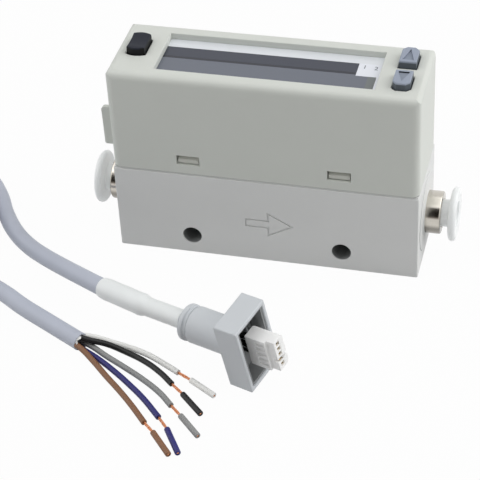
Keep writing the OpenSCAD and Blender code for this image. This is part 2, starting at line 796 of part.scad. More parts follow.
module display_board() {
    length = 2 * (key_x + switch_w / 2);
    color("darkgreen") difference() {
        slab(0, 0, display_board_z, [length, board_wide, board_t]);
        for (x = [-1, 1], y = [-1, 1]) post(x * pillar_x, y * pillar_y, display_board_z - through, 1.8, 3);
    }
}

module board_pillars() {
    color("gold") for (x = [-1, 1], y = [-1, 1]) difference() {
        post(x * pillar_x, y * pillar_y, main_board_top, pillar_d, display_board_z - main_board_top);
        post(x * pillar_x, y * pillar_y, display_board_z - 4, screw_d + 2 * fit, 5);
    }
}

module board_screws() {
    color("silver") for (x = [-1, 1], y = [-1, 1])
        pan_screw(x * pillar_x, y * pillar_y, display_board_top, board_t + 3.4, 2.4, 0.9);
}

module board_link() {
    color("#222222") union() {
        slab(0, pillar_y, main_board_top, [link_len, link_w, link_h]);
        for (i = [-4.5:4.5]) slab(i * 1.27, pillar_y, main_board_top, [0.5, 0.5, display_board_z - main_board_top]);
    }
}

module main_board() {
    color("darkgreen") difference() {
        slab((board_left + board_right) / 2, 0, main_board_z, [board_right - board_left, board_wide, main_board_t]);
        for (i = [0:contact_count - 1])
            post(tail_x, contact_y(i), main_board_z - through, 1, 3);
    }
}

module board_chips() {
    color("#26262a") {
        slab(6, -1.5, main_board_top, [9, 9, 1.4]);
        slab(-9, -2.5, main_board_top, [5, 4, 1.5]);
        slab(20, 0, main_board_top, [6, 5, 3]);
        slab(-link_len / 2 - 2, pillar_y - 3, main_board_top, [4, 3, 1.2]);
    }
}

// Socket

header_len = 4;
header_w = 12;
header_h = 2 * (socket_z - main_board_top);
pin_w = 0.5;
pin_out = nose_reach - 1.2;
pin_z = socket_z + housing_y;
tail_x = header_x + header_len + 0.8;
function contact_y(i) = (i - (contact_count - 1) / 2) * contact_pitch;

module socket_header() {
    color("ivory") difference() {
        slab(header_x + header_len / 2, 0, main_board_top, [header_len, header_w, header_h]);
        for (i = [0:contact_count - 1]) translate([header_x + header_len / 2, contact_y(i), pin_z])
            cube([2 * header_len, pin_w + 2 * fit, pin_w + 2 * fit], center = true);
    }
}

module header_pins() {
    color("gold") for (i = [0:contact_count - 1]) {
        translate([header_x - pin_out, contact_y(i) - pin_w / 2, pin_z - pin_w / 2])
            cube([tail_x - header_x + pin_out + pin_w / 2, pin_w, pin_w]);
        slab(tail_x, contact_y(i), main_board_z - 0.8, [pin_w, pin_w, pin_z - main_board_z + 0.8]);
    }
}

// Plug and lead

module plug_hood() {
    groove_x = boot_end + 1.2;
    color("#b4b9bb") at_plug() difference() {
        union() {
            cube([hood_deep, socket_tall, socket_long], center = true);
            rotate([0, -90, 0]) cylinder(h = hood_front + boot_len, d = boot_d);
        }
        translate([socket_wall / 2 + through / 2, 0, 0])
            cube([hood_deep - socket_wall + through, socket_tall - 2 * socket_wall, socket_long - 2 * socket_wall],
                center = true);
        translate([-hood_front + 2, 0, 0]) rotate([0, -90, 0]) cylinder(h = boot_len - 2, d = boot_d - 2.4);
        rotate([0, -90, 0]) cylinder(h = hood_front + boot_len + 1, d = boot_bore);
        translate([groove_x, 0, 0]) rotate([0, 90, 0]) difference() {
            cylinder(h = 0.9, d = boot_d + 1);
            cylinder(h = 3, d = boot_d - 0.8, center = true);
        }
    }
}

// Rubber lining of the hood, with an opening in its floor for the wires
module hood_lining() {
    floor_x = -hood_front + socket_wall + fit;
    long = socket_long - 2 * socket_wall - 2 * fit;
    tall = socket_tall - 2 * socket_wall - 2 * fit;
    deep = hood_front - 0.4 - floor_x;
    color("#2a2a2c") at_plug() difference() {
        translate([floor_x, -tall / 2, -long / 2]) cube([deep, tall, long]);
        translate([floor_x + lining, lining - tall / 2, lining - long / 2])
            cube([deep, tall - 2 * lining, long - 2 * lining]);
        rotate([0, -90, 0]) cylinder(h = 3 * hood_deep, d = boot_d - 1.6, center = true);
    }
}

// Crimp housing, whose far edges are cut off aslant and whose front end is
// thinner and split in two
module crimp_housing() {
    slant = 0.7;
    thinner = 0.7;             // taken off the front end, on its near side
    split_w = 0.9;
    split_z = -1.4;
    y = housing_t / 2;
    z = housing_w / 2;
    color("#f4f4f0") at_plug() translate([housing_x, housing_y, 0]) difference() {
        rotate([90, 0, 90]) linear_extrude(housing_len)
            polygon([[-y, -z], [y - slant, -z], [y, slant - z], [y, z - slant], [y - slant, z], [-y, z]]);
        translate([housing_len - nose_len, -y - through, -z - through])
            cube([nose_len + through, through + thinner, housing_w + 2 * through]);
        translate([housing_len - nose_len / 2, -y - through, split_z - split_w / 2])
            cube([nose_len, housing_t + 2 * through, split_w]);
        for (i = [0:contact_count - 1]) translate([0, 0, contact_y(i)]) {
            translate([-through, -0.5, -0.5]) cube([housing_len + 1, 1, 1]);
            translate([2.2, -housing_t / 2 - through, -0.4]) cube([2.4, 0.5 + through, 0.8]);
        }
    }
}

module crimp_contacts() {
    color("gold") at_plug() for (i = [0:contact_count - 1]) translate([housing_x, housing_y, contact_y(i)])
        difference() {
            translate([0.4, -0.4, -0.4]) cube([housing_len - 0.8, 0.8, 0.8]);
            translate([housing_len - pin_out, -pin_w / 2 - fit / 2, -pin_w / 2 - fit / 2])
                cube([housing_len, pin_w + fit, pin_w + fit]);
        }
}

module plug_wires() {
    color("dimgray") at_plug() for (i = [0:contact_count - 1]) {
        a = [housing_x, housing_y, contact_y(i)];
        neck = [-hood_front, (i % 2 - 0.5) / 2, 0.7 * contact_y(i)];
        b = [boot_end + 3.2, i % 2 - 0.5, contact_y(i) / 2];
        swept([a, neck, b], 0, 2, 0.4, 8);
    }
}

module shrink_sleeve() {
    bore_r = cable_r + 2 * fit;
    color("#ececec") swept_pipe(NEAR_ROUTE, concat(
        [for (i = [1:SLEEVE_STEP]) [i, bore_r + sleeve_wall]],
        [for (i = [SLEEVE_STEP:SLEEVE_END]) [i, bore_r + sleeve_wall_thick]],
        [for (i = [SLEEVE_END:-1:1]) [i, bore_r]]));
}

module cable_near() {
    color("#aab0ba") swept(NEAR_ROUTE, 0, len(NEAR_ROUTE) - 1, cable_r, 12);
}

module cable_far() {
    color("#aab0ba") swept(FAR_ROUTE, 0, len(FAR_ROUTE) - 1, cable_r, 12);
}

module cable_coil() {
    color("#aab0ba") translate([coil_x, coil_y, 0]) rotate_extrude($fn = 96)
        translate([coil_mid_r, coil_layers * cable_d / 2])
            round_rect(coil_rows * cable_d, coil_layers * cable_d, coil_round);
}

// Insulation of a wire and the slug on its tip: they leave one stretch bare
module insulation(route) {
    last = len(route) - 1;
    swept(route, 0, last - 2, wire_d / 2);
    swept(route, last - 1, last, wire_d / 2);
}

module white_wire() { color("white") insulation(WHITE_ROUTE); }
module black_wire() { color("#1c1c1e") insulation(BLACK_ROUTE); }
module grey_wire() { color("gray") insulation(GREY_ROUTE); }
module blue_wire() { color("navy") insulation(BLUE_ROUTE); }
module brown_wire() { color("sienna") insulation(BROWN_ROUTE); }

module wire_cores() {
    color("#c8743c") for (route = [WHITE_ROUTE, BLACK_ROUTE, GREY_ROUTE, BLUE_ROUTE, BROWN_ROUTE])
        swept(route, len(route) - 3, len(route) - 2, core_d / 2);
}

base_block();
upper_case();
inner_frame();
frame_screws();
display_lens();
label_sheet();
lcd_glass();
lcd_holder();
light_pipes();
lamps();
set_key();
up_key();
down_key();
key_switches();
display_board();
board_pillars();
board_screws();
board_link();
main_board();
board_chips();
socket_header();
header_pins();
sensor_link();
sensor_board();
sensor_chip();
sensor_gasket();
sensor_clamp();
clamp_screws();
flow_screens();
screen_spacers();
left_cartridge();
left_ring();
left_collet();
left_tube_seal();
left_collar();
right_cartridge();
right_ring();
right_collet();
right_tube_seal();
right_collar();
plug_hood();
hood_lining();
crimp_housing();
crimp_contacts();
plug_wires();
shrink_sleeve();
cable_near();
cable_coil();
cable_far();
white_wire();
black_wire();
grey_wire();
blue_wire();
brown_wire();
wire_cores();
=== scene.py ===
"""Inline flow sensor for gas with its unplugged lead. Lengths are in millimetres up to the last step,
where MM turns them into the frame's metres. +X is the flow direction and +Z is up."""
import json
import math
import random

import bmesh
import bpy
from mathutils import Matrix, Quaternion, Vector


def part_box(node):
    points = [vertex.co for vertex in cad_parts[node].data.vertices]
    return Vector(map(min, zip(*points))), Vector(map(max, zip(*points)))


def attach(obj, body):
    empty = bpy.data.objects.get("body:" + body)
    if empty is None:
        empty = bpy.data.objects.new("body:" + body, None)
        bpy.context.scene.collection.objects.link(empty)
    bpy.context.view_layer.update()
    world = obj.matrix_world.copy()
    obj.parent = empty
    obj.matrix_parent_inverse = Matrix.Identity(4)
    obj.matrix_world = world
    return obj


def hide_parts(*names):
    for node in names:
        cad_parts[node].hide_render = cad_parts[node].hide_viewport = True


MM = 0.001
UP = Vector((0, 0, 1))
FLOW = Vector((1, 0, 0))

# Camera, from the corners of the body in the photograph
CAMERA_PLACE = (80.86, -315.52, 252.82)
CAMERA_AIM = (-2.65, -23.26, 15.0)
CAMERA_ROLL = -3.42
CAMERA_LENS = 131.4
CAMERA_CLIP = 10

# Cable: the middle line from the boot to the coil, and from the coil to the end of the jacket
CABLE_R = 2.0
NEAR_ROUTE = [
    (-7, -46.05, 9.15), (-10.1, -44.86, 8.9), (-15, -42.9, 8.5), (-20, -40.9, 8.1), (-26, -38.1, 7.6),
    (-31.2, -35.5, 7), (-37, -31.7, 5.8), (-42, -28.1, 4.5), (-46.4, -24.8, 3.3), (-50.8, -21.6, 2.4),
    (-55.2, -18.4, 2), (-60, -14, 2), (-64.8, -7.6, 2), (-69, -0.5, 2),
    (-74.6, 6, 2), (-82, 10.4, 2), (-90, 11.9, 2),
]
FAR_ROUTE = [
    (-88.8, -38.4, 6), (-83, -36.5, 5.4), (-77, -34.2, 3.9), (-71, -32.2, 2.5), (-65, -31.9, 2),
    (-60, -33.4, 2), (-55, -35.9, 2), (-49.5, -39.4, 2), (-41.5, -43.8, 2), (-32.8, -48.5, 2),
]
CABLE_BETWEEN = 6

# Coil: the angles where its turns start and end, and its tracks. Each has the angle where the cable starts
# to cross to it, then its radius and height, which are reached within COIL_CROSSING degrees
COIL_MIDDLE = Vector((-98, -14, 0))
COIL_START = 90
COIL_END = 2077
POINTS_A_TURN = 18
COIL_CROSSING = 60
COIL_TRACKS = [(30, 26, 2), (390, 22, 2), (750, 18, 2), (1050, 18, 6), (1350, 22, 6), (1710, 26, 6)]

# Twist tie round the coil's turns: its place, its band, and its two ends, which are twisted together
TIE_ANGLE = 200
TIE_MIDDLE_R = 22
TIE_HALF = 6.3
TIE_CORNER_R = 1.9
TIE_BAND_R = 0.3
TIE_KNOT_OUT = 0.4
TIE_KNOT_DOWN = 2.5
TIE_END_R = 0.28
TIE_TWIST_R = 0.34
TIE_TWIST_STEPS = 36
TIE_TWIST_DEGREES = 40
TIE_REACH = 7
TIE_SPREAD = 2
TIE_DROP = 2.2

# Shrink sleeve: the points of NEAR_ROUTE where it starts, gets thick and ends, and how its radius departs:
# ripples, each with a height, a turn from one point of its line to the next and a start, then the rolled
# lip where it gets thick and the round end
SLEEVE_FROM = 1
SLEEVE_STEP = 3
SLEEVE_TO = 5
SLEEVE_BETWEEN = 8
SLEEVE_THIN_R = 2.12
SLEEVE_THICK_R = 2.46
SLEEVE_RIPPLES = [(0.012, 0.9, 0), (0.008, 0.37, 1)]
SLEEVE_LIP = [-0.08, 0.05]
SLEEVE_ROUND_END = [-0.06, -0.18]

# Jacket's cut end: its hollow wall, the tears of the wrap inside it, and the filling round the wires
JACKET_END = Vector(FAR_ROUTE[-1])
JACKET_HEADING = (JACKET_END - Vector(FAR_ROUTE[-2])).normalized()
JACKET_MOUTH = 1.4
JACKET_WALL = 0.27
TEAR_FROM = 0.3
TEAR_DEPTH = 0.9
TEAR_ROUGHNESS = 0.1
FILLING_DEEPER = 0.4
FILLING_SUNK = 0.9

# Wires: the middle line of each. It is bare from its last point but two to its last but one, and the slug
# of insulation left on the tip runs from there to its last point
WIRE_R = 0.65
WIRE_BETWEEN = 8
WIRE_INSIDE = 7
STRAND_R = 0.088
STRANDS_ROUND = 6
STRAND_STEPS = 12
STRAND_TURN = 0.9 * math.pi
STRAND_SWELL = 0.4
STRAND_HIDDEN = 0.5
CORE_R = 0.26
CORE_FROM = 0.6
CORE_SUNK = 0.12
WIRES = {
    "white": [(-33.9, -46.7, 2.5), (-29.7, -46.6, 2.1), (-26.5, -46.4, 1.1), (-22.5, -46.8, 0.65),
              (-18, -48.2, 0.65), (-13.4, -50.5, 0.65), (-9.7, -52.6, 0.65), (-6.5, -54.3, 0.65),
              (-0.3, -58.1, 0.65)],
    "black": [(-34.5, -47.7, 3.2), (-30.8, -48.5, 2.9), (-27, -48.2, 2.1), (-22.6, -48.7, 1),
              (-17.8, -50.5, 0.65), (-13.4, -53.4, 0.65), (-10.1, -56.3, 0.65), (-7.1, -58.8, 0.65),
              (-1.7, -64, 0.65)],
    "grey": [(-34, -46.9, 1.1), (-30.4, -48.6, 1.3), (-26.4, -50.6, 0.8), (-22, -52.9, 0.65),
             (-16.4, -56.2, 0.65), (-11.8, -59.5, 0.65), (-8.5, -62.7, 0.65), (-5.8, -65.2, 0.65),
             (-0.6, -70.4, 0.65)],
    "blue": [(-34.7, -48.2, 0.9), (-31.3, -49.8, 0.7), (-27.4, -52, 0.65), (-22.8, -55.2, 0.65),
             (-19.1, -58.1, 0.65), (-15, -61.6, 0.65), (-10.1, -66.6, 0.65), (-7.5, -69.5, 0.65),
             (-3.3, -76, 0.65)],
    "brown": [(-35, -48.8, 2.2), (-32, -50.5, 1.9), (-28.6, -53, 1.1), (-24.6, -56.6, 0.65),
              (-20.6, -60.3, 0.65), (-16.8, -64.1, 0.65), (-12.6, -68.7, 0.65), (-10.1, -71, 0.65),
              (-5.1, -76.7, 0.65)],
}

# Block and case: mounting holes, shadow line at the seam, snap windows, and the posts of the socket's rim
HOLE_PITCH = 35
HOLE_Z = 4.8
HOLE_R = 2.2
SEAM_LINE = 0.3
SNAP_WINDOWS_LOW = 23
SNAP_WINDOWS_HIGH = 29
RIM_TOP = 38
RIM_DROP = 1.0
RIM_POST_Y = 8

# Keys and label: the marks of the arrow keys, the rounding of every key, and the two lamps' field and digits
# MARK_INSET is how far the mark's wall lies inside the down key's back, where its painted shade falls.
MARK_INSET = 0.8
MARK_HALF = 1
MARK_MARGIN = 0.5
KEY_ROUNDING = 0.3
LAMP_FIELD_FROM = 19.1
LAMP_DIGITS = {"1": (20.5, 2.7), "2": (23.05, 2.5)}
DIGIT_TALL = 1.9
DIGIT_THICK = 0.006
DIGIT_PROUD = 0.005

# Ports: the turned ring and the release collar in it
TURNED_STEPS = 96
RING_SHANK_R = 3.95
RING_BORE_R = 3.3
RING_EDGE_R = 0.35
RING_CHAMFER = 0.15
COLLAR_FOOT = 0.7
COLLAR_FOOT_R = 3.6
COLLAR_TUBE_R = 3.1
COLLAR_BORE_R = 2.1
COLLAR_FILLET = 0.5
COLLAR_FLANGE = 1.8
COLLAR_LIP_R = 0.86

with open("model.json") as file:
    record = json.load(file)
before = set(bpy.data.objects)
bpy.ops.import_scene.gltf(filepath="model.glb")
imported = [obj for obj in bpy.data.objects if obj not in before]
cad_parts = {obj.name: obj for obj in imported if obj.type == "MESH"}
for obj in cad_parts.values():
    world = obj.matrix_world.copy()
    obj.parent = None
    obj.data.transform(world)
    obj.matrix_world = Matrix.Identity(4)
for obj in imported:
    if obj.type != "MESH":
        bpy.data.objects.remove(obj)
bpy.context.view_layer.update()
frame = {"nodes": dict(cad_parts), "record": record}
nodes = frame["nodes"]
BODIES = frame["record"]["behaviour"]["bodies"]
BODY_OF = {node: body for body, members in BODIES.items() for node in members}
SLOT_OF = {row["node"]: row["material_slot"] for row in frame["record"]["subparts"]}
bpy.ops.object.select_all(action="DESELECT")


def mm_box(node):
    """Lowest and highest corner of a CAD node, in millimetres."""
    low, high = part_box(node)
    return low / MM, high / MM


# Camera

def place_camera():
    camera = bpy.data.objects.new("camera", bpy.data.cameras.new("camera"))
    bpy.context.scene.collection.objects.link(camera)
    camera.data.lens = CAMERA_LENS
    camera.data.clip_start = CAMERA_CLIP * MM
    view = Vector(CAMERA_AIM) - Vector(CAMERA_PLACE)
    turn = view.to_track_quat("-Z", "Y") @ Quaternion((0, 0, 1), math.radians(CAMERA_ROLL))
    camera.matrix_world = Matrix.Translation(Vector(CAMERA_PLACE) * MM) @ turn.to_matrix().to_4x4()
    bpy.context.scene.camera = camera


# Shading

def tone(red, green, blue):
    """Linear colour from one as a picture editor gives it, 0 to 255."""
    return tuple(
        (c / 255 / 12.92) if c <= 10 else ((c / 255 + 0.055) / 1.055) ** 2.4 for c in (red, green, blue)
    ) + (1.0,)


def times(colour, factor):
    return tuple(c * factor for c in colour[:3]) + (1.0,)


class Value:
    """A node's output that takes part in arithmetic."""

    def __init__(self, shading, socket):
        self.shading = shading
        self.socket = socket

    def maths(self, operation, *values):
        return self.shading.make("Math", {"operation": operation}, list(values))

    def __add__(self, other):
        return self.maths("ADD", self, other)

    __radd__ = __add__

    def __sub__(self, other):
        return self.maths("SUBTRACT", self, other)

    def __rsub__(self, other):
        return self.maths("SUBTRACT", other, self)

    def __mul__(self, other):
        return self.maths("MULTIPLY", self, other)

    __rmul__ = __mul__

    def __truediv__(self, other):
        return self.maths("DIVIDE", self, other)

    def __abs__(self):
        return self.maths("ABSOLUTE", self)

    def root(self):
        return self.maths("SQRT", self)

    def most(self, other):
        return self.maths("MAXIMUM", self, other)

    def over(self, edge, soft):
        """0 below the edge and 1 above it, changing softly over the given width."""
        return self.shading.make("MapRange", {"interpolation_type": "SMOOTHSTEP"},
                                 {"Value": self, "From Min": edge - soft / 2, "From Max": edge + soft / 2})


class Shading:
    """A tree of nodes, of a material or of the world."""

    def __init__(self, tree):
        self.tree = tree

    def make(self, kind, settings, values, output=0):
        """Adds any node and returns one of its outputs. A ramp's stops are pairs of a place and a colour."""
        node = self.tree.nodes.new("ShaderNode" + kind)
        for name, value in settings.items():
            if name == "stops":
                for stop, (place, colour) in zip(node.color_ramp.elements, value):
                    stop.position = place
                    stop.color = colour
            else:
                setattr(node, name, value)
        pairs = enumerate(values) if isinstance(values, list) else values.items()
        for key, value in pairs:
            if isinstance(value, Value):
                self.tree.links.new(value.socket, node.inputs[key])
            else:
                node.inputs[key].default_value = value
        return Value(self, node.outputs[output])

    def ray(self, kind):
        """1 for rays of the kind Camera, Glossy or Transmission, and 0 for all others."""
        return self.make("LightPath", {}, {}, f"Is {kind} Ray")


class Finish(Shading):
    """A material."""

    def __init__(self, name):
        self.material = bpy.data.materials.new(name)
        self.material.use_nodes = True
        super().__init__(self.material.node_tree)
        self.shader = self.tree.nodes["Principled BSDF"]
        self.place = self.make("TexCoord", {}, {}, "Object")

    def set(self, **values):
        for name, value in values.items():
            socket = self.shader.inputs[name.replace("_", " ")]
            if isinstance(value, Value):
                self.tree.links.new(value.socket, socket)
            else:
                socket.default_value = value

    def colour_so_far(self):
        return Value(self, self.shader.inputs["Base Color"].links[0].from_socket)

    def axis(self, name):
        """Place along X, Y or Z in millimetres."""
        return self.make("SeparateXYZ", {}, [self.place], name) / MM

    def noise(self, size, detail, stretch=(1, 1, 1)):
        """Noise with features of the given size in millimetres, drawn out along an axis by stretch."""
        scale = tuple(1 / (size * MM * s) for s in stretch)
        spot = self.make("Mapping", {}, {"Vector": self.place, "Scale": scale})
        return self.make("TexNoise", {}, {"Vector": spot, "Scale": 1.0, "Detail": detail})

    def mix(self, mask, low, high):
        """The colour low where the mask is 0 and high where it is 1."""
        return self.make("Mix", {"data_type": "RGBA"}, {0: mask, 6: low, 7: high}, 2)

    def bump(self, height, depth):
        """Normal of a relief whose height runs from 0 to 1 over depth millimetres."""
        return self.make("Bump", {}, {"Strength": 1.0, "Distance": depth * MM, "Height": height})


# Finishes

CASE_TONE = tone(212, 215, 209)
BLOCK_TONE = tone(224, 225, 224)
PLUG_TONE = tone(203, 207, 211)
CABLE_TONE = tone(184, 189, 202)
WIRE_TONES = {
    "white": tone(243, 243, 240), "black": tone(11, 11, 12), "grey": tone(144, 145, 144),
    "blue": tone(42, 41, 108), "brown": tone(130, 92, 66),
}


def moulded(name, colour, roughness=0.5, grain=0.22, depth=0.006, drift=0.035, shine=0.5):
    """Moulded plastic: spark-eroded grain, and slight drift of colour and gloss."""
    skin = Finish(name)
    cloud = skin.noise(9, 3)
    speck = skin.noise(grain, 2)
    skin.set(Base_Color=skin.mix(cloud, times(colour, 1 - drift), times(colour, 1 + drift)),
             Roughness=roughness - 0.06 + cloud * 0.08 + speck * 0.05,
             Normal=skin.bump(speck, depth),
             Specular_IOR_Level=shine)
    return skin


def case_moulding():
    """The case's plastic, with painted shade on its lower edge, in the groove above the block."""
    skin = moulded("case moulding", CASE_TONE, grain=0.2, drift=0.02)
    groove_top = mm_box("upper_case")[0].z + 0.2
    # Painted shade: below the groove's top the case takes a darker copy of its colour.
    above = skin.axis("Z").over(groove_top, 0.16)
    skin.set(Base_Color=skin.mix(above, times(CASE_TONE, 0.55), skin.colour_so_far()))
    return skin


def block_casting():
    """The block's plastic, darker inside the two mounting holes, where little light gets."""
    skin = moulded("block casting", BLOCK_TONE, roughness=0.55, grain=0.25, depth=0.008, drift=0.02)
    across = abs(skin.axis("X")) - HOLE_PITCH / 2
    up = skin.axis("Z") - HOLE_Z
    outside = (across * across + up * up).root().over(HOLE_R + 0.12, 0.12)
    at_face = abs(skin.axis("Y")).over(mm_box("upper_case")[1].y - 0.25, 0.5)
    lit = outside.most(at_face)
    skin.set(Base_Color=skin.mix(lit, tone(132, 134, 134), skin.colour_so_far()))
    return skin


def key_rubber(name, colour, side):
    """Rubber of a key: its own colour on top, painted shade on its sides, and the darkest painted shade on
    the front-facing wall of the down key's mark.
    """
    skin = moulded(name, colour, roughness=0.57, grain=0.16, depth=0.008, drift=0.04, shine=0.25)
    # Painted shade: below the keys' tops the rubber takes the darker side colour.
    on_top = skin.axis("Z").over(mm_box("up_key")[1].z - 0.4, 0.3)
    with_shaded_sides = skin.mix(on_top, side, skin.colour_so_far())
    # Painted shade on the wall of the down key's mark that faces the front.
    wall = mm_box("down_key")[1].y - MARK_INSET
    normal = skin.make("NewGeometry", {}, {}, "Normal")
    to_front = (0 - skin.make("SeparateXYZ", {}, [normal], "Y")).over(0.7, 0.3)
    along = skin.axis("Y")
    at_wall = along.over(wall - 0.4, 0.1) * (1 - along.over(wall + 0.4, 0.1))
    skin.set(Base_Color=skin.mix(to_front * at_wall, with_shaded_sides, times(side, 0.2)))
    return skin


def milky(name, colour, roughness, depth, weight=0.3, through=0.0):
    """Translucent plastic: light goes a little way in, and an even painted glow (emission) stands in for
    light that comes through from behind.
    """
    skin = Finish(name)
    cloud = skin.noise(3.5, 2)
    # Emission of the plastic's own colour, as strong as through says, is a painted glow.
    skin.set(Base_Color=skin.mix(cloud, times(colour, 0.965), colour),
             Roughness=roughness + cloud * 0.08,
             Normal=skin.bump(skin.noise(0.6, 2), 0.004),
             Subsurface_Weight=weight,
             Subsurface_Radius=(1.0, 1.0, 1.0),
             Subsurface_Scale=depth * MM,
             Emission_Color=colour,
             Emission_Strength=through)
    return skin


def turned_metal(name, colour):
    """Plated metal turned about the flow axis: fine rings, with haze from handling, and the lower half
    darker, a painted reflection of dark surroundings.
    """
    skin = Finish(name)
    lines = skin.noise(0.05, 2, (1, 60, 60))
    haze = skin.noise(2.2, 3)
    low, high = mm_box("right_ring")
    # Painted reflection: below the ring's middle the plating takes a darker copy of its colour.
    upper = skin.axis("Z").over((low.z + high.z) / 2 - 0.6, 1.4)
    plating = skin.mix(haze, times(colour, 0.86), colour)
    skin.set(Base_Color=skin.mix(upper, times(colour, 0.42), plating),
             Metallic=1.0,
             Roughness=0.14 + lines * 0.04 + haze * 0.08,
             Normal=skin.bump(lines, 0.0012))
    return skin


def bright_metal(name, colour):
    """Rolled or plated metal with a fine mottle."""
    skin = Finish(name)
    mottle = skin.noise(0.5, 3)
    skin.set(Base_Color=skin.mix(mottle, times(colour, 0.82), colour),
             Metallic=1.0,
             Roughness=0.25 + mottle * 0.18,
             Normal=skin.bump(mottle, 0.003))
    return skin


def jacket(name, colour, roughness=0.45, drift=0.05, depth=0.012, shine=0.5, grain=0.3):
    """Extruded soft PVC: faint cloudiness, fine dust and a soft sheen."""
    skin = Finish(name)
    cloud = skin.noise(6, 3)
    dust = skin.noise(grain, 3)
    skin.set(Base_Color=skin.mix(cloud, times(colour, 1 - drift), times(colour, 1 + drift)),
             Roughness=roughness - 0.05 + dust * 0.14,
             Normal=skin.bump(cloud * 0.6 + dust * 0.4, depth),
             Specular_IOR_Level=shine)
    return skin


def window_film():
    """Smoked display window with light and shade painted into its colour: a darker band behind, a greyer one
    in front with a greener right end, and a dark line between them.
    """
    skin = Finish("smoked window")
    band_from = -0.5
    line_to = 0.35
    end_from = mm_box("display_lens")[1].x - 1.8
    across = skin.axis("Y")
    behind = across.over(band_from, 0.1)
    line = behind * (1 - across.over(line_to, 0.3))
    end = skin.axis("X").over(end_from, 0.4) * (1 - behind)
    # Painted light and shade: the bands, the greener end and the dark line are colours of the film.
    front = skin.mix(end, tone(104, 109, 120), tone(111, 116, 116))
    bands = skin.mix(behind, front, tone(56, 60, 73))
    haze = skin.noise(1.2, 3)
    skin.set(Base_Color=skin.mix(line * 0.8, bands, tone(30, 33, 44)),
             Roughness=0.16 + haze * 0.05,
             Normal=skin.bump(haze, 0.002),
             Specular_IOR_Level=0.4)
    return skin


def silver_film():
    """Label print: silver, with a pale field for the two lamps."""
    skin = Finish("silver label")
    field_back = mm_box("display_lens")[1].y + 0.1
    field = skin.axis("X").over(LAMP_FIELD_FROM, 0.06) * (1 - skin.axis("Y").over(field_back, 0.06))
    fleck = skin.noise(0.08, 2)
    metal = skin.mix(fleck, tone(216, 220, 226), tone(234, 237, 240))
    skin.set(Base_Color=skin.mix(field, metal, tone(232, 235, 242)),
             Metallic=(1 - field) * 0.2,
             Roughness=0.34 + fleck * 0.1,
             Normal=skin.bump(fleck, 0.0015))
    return skin


def circuit_board():
    """Green solder mask over copper tracks."""
    skin = Finish("solder mask")
    track_scale = 1 / (2.4 * MM)
    tracks = skin.make("TexBrick", {"offset": 0.5},
                       {"Vector": skin.place, "Scale": track_scale, "Mortar Size": 0.06}, "Fac")
    skin.set(Base_Color=skin.mix(tracks, tone(24, 92, 58), tone(40, 118, 74)),
             Roughness=0.32 + tracks * 0.1,
             Normal=skin.bump(tracks, 0.02))
    return skin


FINISHES = {
    "block": block_casting(),
    "case": case_moulding(),
    "frame": moulded("frame moulding", tone(206, 207, 199)),
    "steel": bright_metal("zinc-plated steel", tone(196, 198, 200)),
    "nickel": turned_metal("nickel plating", tone(206, 201, 192)),
    "window": window_film(),
    "label": silver_film(),
    "lcd": moulded("display glass", tone(70, 78, 80), roughness=0.12, grain=0.8, depth=0.001),
    "white_plastic": milky("natural nylon", tone(252, 252, 251), roughness=0.4, depth=0.8),
    # The collars' acetal has a painted glow for the light that shines through them.
    "clear_plastic": milky("milky acetal", tone(222, 224, 224), roughness=0.34, depth=1.5, through=0.22),
    "lamp": moulded("amber lamp", tone(232, 160, 60), roughness=0.2, grain=0.4, depth=0.001),
    # Each key's last tone is the painted shade of its sides.
    "dark_key": key_rubber("navy key rubber", tone(23, 27, 38), tone(9, 11, 14)),
    "grey_key": key_rubber("slate key rubber", tone(154, 162, 177), tone(88, 94, 101)),
    "black_plastic": moulded("black moulding", tone(40, 40, 43), shine=0.35),
    "circuit_board": circuit_board(),
    "gilt": bright_metal("gilt contact", tone(226, 200, 138)),
    "seal": moulded("seal rubber", tone(138, 140, 141), roughness=0.7, shine=0.3),
    "plug_grey": moulded("plug moulding", PLUG_TONE, roughness=0.48, grain=0.2, drift=0.02),
    "sleeve": milky("shrink sleeve", tone(240, 243, 243), roughness=0.3, depth=0.3, weight=0.1),
    "cable": jacket("cable jacket", CABLE_TONE),
    "copper": bright_metal("bare copper", tone(212, 146, 108)),
}
for wire, colour in WIRE_TONES.items():
    FINISHES[wire + "_wire"] = jacket(wire + " insulation", colour, roughness=0.42, drift=0.02, depth=0.001,
                                      shine=0.35, grain=1.4)


def coat(piece, slot):
    """Gives a piece the finish of a material slot."""
    piece.data.materials.clear()
    piece.data.materials.append(FINISHES[slot].material)


def dress(piece, slot, body="sensor"):
    """Gives a new piece its finish and the body that it rides on."""
    coat(piece, slot)
    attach(piece, body)
    return piece


# Modelling

SAME_POINT = 0.002
FLAT_DEGREES = 0.4


def pick(piece):
    bpy.ops.object.select_all(action="DESELECT")
    piece.select_set(True)
    bpy.context.view_layer.objects.active = piece


def new_piece(name, data):
    piece = bpy.data.objects.new(name, data)
    bpy.context.scene.collection.objects.link(piece)
    pick(piece)
    return piece


def smooth(piece, angle, weigh=True):
    """Smooth shading that keeps the sharp edges and, weighed, leaves flat faces flat."""
    pick(piece)
    bpy.ops.object.shade_smooth_by_angle(angle=math.radians(angle))
    if weigh:
        even = piece.modifiers.new("even", "WEIGHTED_NORMAL")
        even.keep_sharp = True
        bpy.ops.object.modifier_apply(modifier=even.name)
    return piece


def copy_of(node, name):
    """A merged copy of a CAD node's mesh, which takes its place."""
    piece = new_piece(name, nodes[node].data.copy())
    if piece.data.has_custom_normals:
        bpy.ops.mesh.customdata_custom_splitnormals_clear()
    bpy.ops.object.mode_set(mode="EDIT")
    bpy.ops.mesh.select_all(action="SELECT")
    bpy.ops.mesh.remove_doubles(threshold=SAME_POINT * MM)
    bpy.ops.mesh.dissolve_limited(angle_limit=math.radians(FLAT_DEGREES))
    bpy.ops.object.mode_set(mode="OBJECT")
    dress(piece, SLOT_OF[node], BODY_OF[node])
    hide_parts(node)
    return piece


